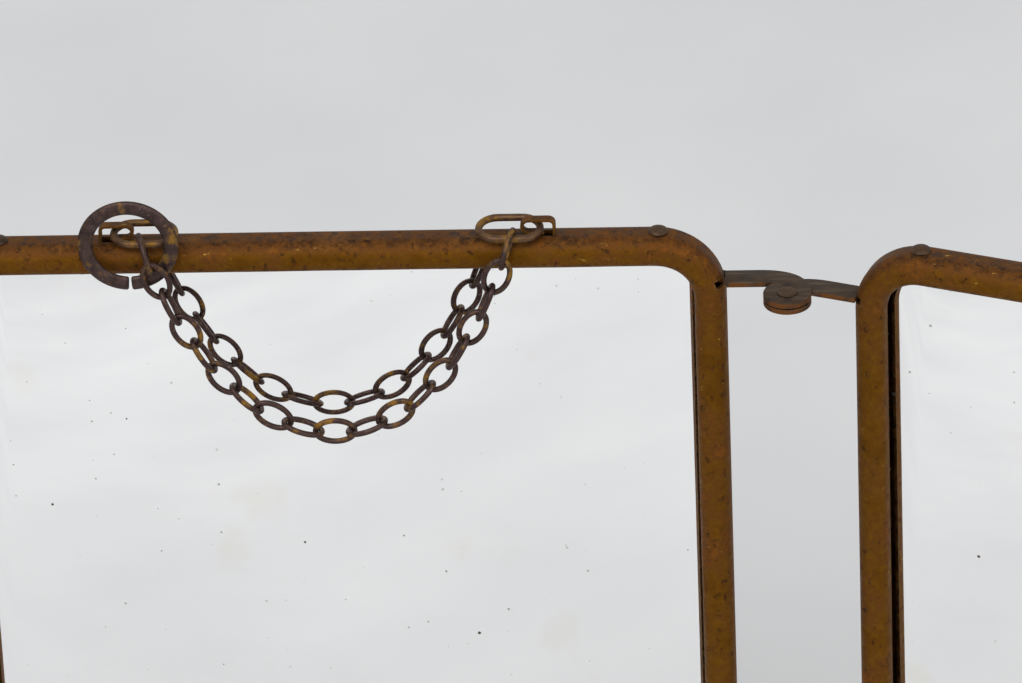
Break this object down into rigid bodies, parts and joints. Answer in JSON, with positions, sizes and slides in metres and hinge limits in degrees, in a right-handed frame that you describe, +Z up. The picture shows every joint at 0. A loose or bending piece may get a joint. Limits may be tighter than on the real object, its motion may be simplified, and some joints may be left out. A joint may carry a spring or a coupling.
{
  "type": "folding triptych mirror",
  "caption": "Folding triptych mirror in rounded steel channel frames, with riveted strip hinges between the panels and a hanging chain with a split ring.",
  "frame": {"origin": "on the base of the centre panel's frame, at mid width, in the plane of its glass face", "axes": "+X to the right, +Y from the glass towards the back, +Z up; the panels open towards -Y"},
  "size_m": [0.6518, 0.0848, 0.2775],
  "materials": {
    "rusty_frame_steel": "rust-browned lacquered steel, worn bright along the bead",
    "dark_strip_steel": "dark browned strip steel",
    "chain_wire_steel": "purple-brown wire with ochre rust",
    "rivet_steel": "rusted rivet steel",
    "mirror_silvering": "silvered glass with small dark flecks",
    "pulp_card": "plain brown pulp card",
    "tinplate_back": "dull tinplate"
  },
  "bodies": {
    "centre": {"centre_frame": "rusty_frame_steel", "centre_mirror_glass": "mirror_silvering", "centre_backing_card": "pulp_card", "centre_back_plate": "tinplate_back", "centre_joint_sleeve": "dark_strip_steel", "right_upper_hinge_arm": "dark_strip_steel", "right_upper_pivot_rivet": "rivet_steel", "right_upper_frame_rivet": "rivet_steel", "right_lower_hinge_arm": "dark_strip_steel", "right_lower_pivot_rivet": "rivet_steel", "right_lower_frame_rivet": "rivet_steel", "left_upper_hinge_arm": "dark_strip_steel", "left_upper_pivot_rivet": "rivet_steel", "left_upper_frame_rivet": "rivet_steel", "left_lower_hinge_arm": "dark_strip_steel", "left_lower_pivot_rivet": "rivet_steel", "left_lower_frame_rivet": "rivet_steel", "left_eye_loop": "rusty_frame_steel", "right_eye_loop": "rusty_frame_steel"},
    "right_wing": {"right_wing_frame": "rusty_frame_steel", "right_wing_mirror_glass": "mirror_silvering", "right_wing_backing_card": "pulp_card", "right_wing_back_plate": "tinplate_back", "right_wing_joint_sleeve": "dark_strip_steel", "right_upper_wing_arm": "dark_strip_steel", "right_upper_wing_rivet": "rivet_steel", "right_lower_wing_arm": "dark_strip_steel", "right_lower_wing_rivet": "rivet_steel"},
    "left_wing": {"left_wing_frame": "rusty_frame_steel", "left_wing_mirror_glass": "mirror_silvering", "left_wing_backing_card": "pulp_card", "left_wing_back_plate": "tinplate_back", "left_wing_joint_sleeve": "dark_strip_steel", "left_upper_wing_arm": "dark_strip_steel", "left_upper_wing_rivet": "rivet_steel", "left_lower_wing_arm": "dark_strip_steel", "left_lower_wing_rivet": "rivet_steel"},
    "chain": {"chain_link_01": "chain_wire_steel", "chain_link_02": "chain_wire_steel", "chain_link_03": "chain_wire_steel", "chain_link_04": "chain_wire_steel", "chain_link_05": "chain_wire_steel", "chain_link_06": "chain_wire_steel", "chain_link_07": "chain_wire_steel", "chain_link_08": "chain_wire_steel", "chain_link_09": "chain_wire_steel", "chain_link_10": "chain_wire_steel", "chain_link_11": "chain_wire_steel", "chain_link_12": "chain_wire_steel", "chain_link_13": "chain_wire_steel", "chain_link_14": "chain_wire_steel", "chain_link_15": "chain_wire_steel", "chain_link_16": "chain_wire_steel", "chain_link_17": "chain_wire_steel", "chain_link_18": "chain_wire_steel", "chain_link_19": "chain_wire_steel"},
    "ring": {"hanging_ring": "chain_wire_steel"}
  },
  "joints": [
    {"name": "right_wing_fold", "type": "hinge", "parent": "centre", "child": "right_wing", "pos_m": [0.1165, -0.009, 0.131], "axis": [0, 0, -1], "range_deg": [-90, 160]},
    {"name": "left_wing_fold", "type": "hinge", "parent": "centre", "child": "left_wing", "pos_m": [-0.1165, -0.0148, 0.131], "axis": [0, 0, 1], "range_deg": [-90, 160]},
    {"name": "chain_swing", "type": "hinge", "parent": "centre", "child": "chain", "pos_m": [0, -0.0052, 0.26385], "axis": [-1, 0, 0], "range_deg": [0, 100]},
    {"name": "ring_spin", "type": "hinge", "parent": "centre", "child": "ring", "pos_m": [-0.05, -0.0074, 0.2648], "axis": [0, 1, 0], "continuous": true}
  ]
}
